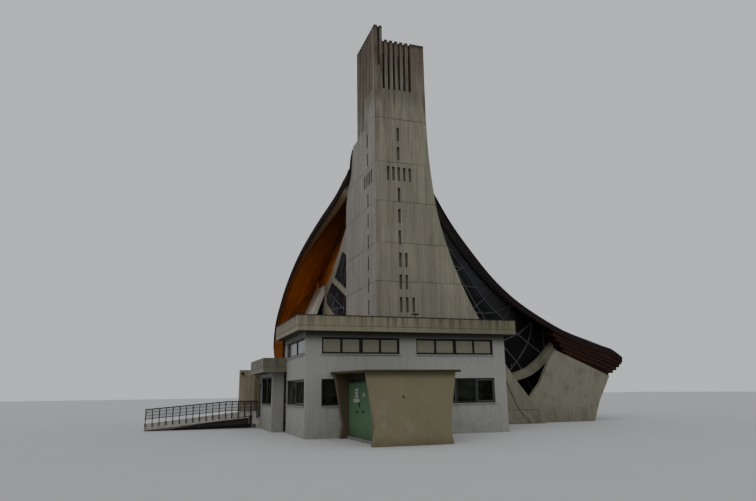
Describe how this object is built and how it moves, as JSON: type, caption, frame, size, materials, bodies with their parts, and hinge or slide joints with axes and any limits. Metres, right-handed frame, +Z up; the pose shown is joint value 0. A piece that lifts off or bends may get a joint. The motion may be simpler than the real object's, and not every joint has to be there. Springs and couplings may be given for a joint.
{
  "type": "modern church building",
  "caption": "Tall concrete bell tower with a flared foot, a low plaster annex in front and a hall under one curved timber roof slung from the tower.",
  "frame": {"origin": "centre of the bounding box in plan, at ground level", "axes": "+X right along the annex front, +Y from the annex front to the hall, +Z up"},
  "size_m": [23.97, 23.3698, 20.52],
  "materials": {
    "board_concrete": "board-marked concrete",
    "dark_covering": "dark roof sheet",
    "dark_metal": "dull dark paint",
    "glass": "dark window glass",
    "green_boards": "dull green paint on boards",
    "grey_steel": "light grey paint",
    "mossy_concrete": "mossy concrete",
    "pale_concrete": "pale smooth concrete",
    "parapet_concrete": "weathered concrete",
    "plaster": "matt grey-white plaster",
    "porch_plaster": "stained tan plaster",
    "roof_boards": "orange-brown stained boards",
    "screed": "cement screed"
  },
  "bodies": {
    "building": {"annex_back_wall": "plaster", "annex_coping": "dark_metal", "annex_east_wall": "plaster", "annex_floor": "screed", "annex_front_wall": "plaster", "annex_roof": "parapet_concrete", "annex_west_wall": "plaster", "belfry_floor": "screed", "belfry_roof": "board_concrete", "entrance_wall": "board_concrete", "front_lower_left_window": "glass", "front_lower_right_window": "glass", "front_upper_left_window": "glass", "front_upper_right_window": "glass", "hall_east_wall": "board_concrete", "hall_floor": "screed", "hall_north_wall": "board_concrete", "landing": "screed", "link_roof": "parapet_concrete", "link_walls": "plaster", "link_window": "glass", "porch_floor": "screed", "porch_roof": "mossy_concrete", "porch_walls": "porch_plaster", "ramp": "screed", "ramp_railing": "dark_metal", "roof_covering": "dark_covering", "roof_shell": "roof_boards", "south_arch": "pale_concrete", "south_glass": "glass", "south_lattice": "grey_steel", "south_pier": "pale_concrete", "tip_boards": "roof_boards", "tower_east_wall": "board_concrete", "tower_north_wall": "board_concrete", "tower_south_wall": "board_concrete", "tower_west_wall": "board_concrete", "west_boards": "roof_boards", "west_frame": "pale_concrete", "west_glass": "glass", "west_inner_frame": "pale_concrete", "west_lower_window": "glass", "west_pier": "pale_concrete", "west_tip_boards": "roof_boards", "west_upper_window": "glass"},
    "front_leaf": {"porch_door_front_leaf": "green_boards"},
    "rear_leaf": {"porch_door_rear_leaf": "green_boards"}
  },
  "joints": [
    {"name": "front_leaf_hinge", "type": "hinge", "parent": "building", "child": "front_leaf", "pos_m": [-4.667, -10.59288, 1.1], "axis": [0, 0, -1], "range_deg": [0, 85]},
    {"name": "rear_leaf_hinge", "type": "hinge", "parent": "building", "child": "rear_leaf", "pos_m": [-4.667, -7.79688, 1.1], "axis": [0, 0, 1], "range_deg": [0, 85]}
  ]
}
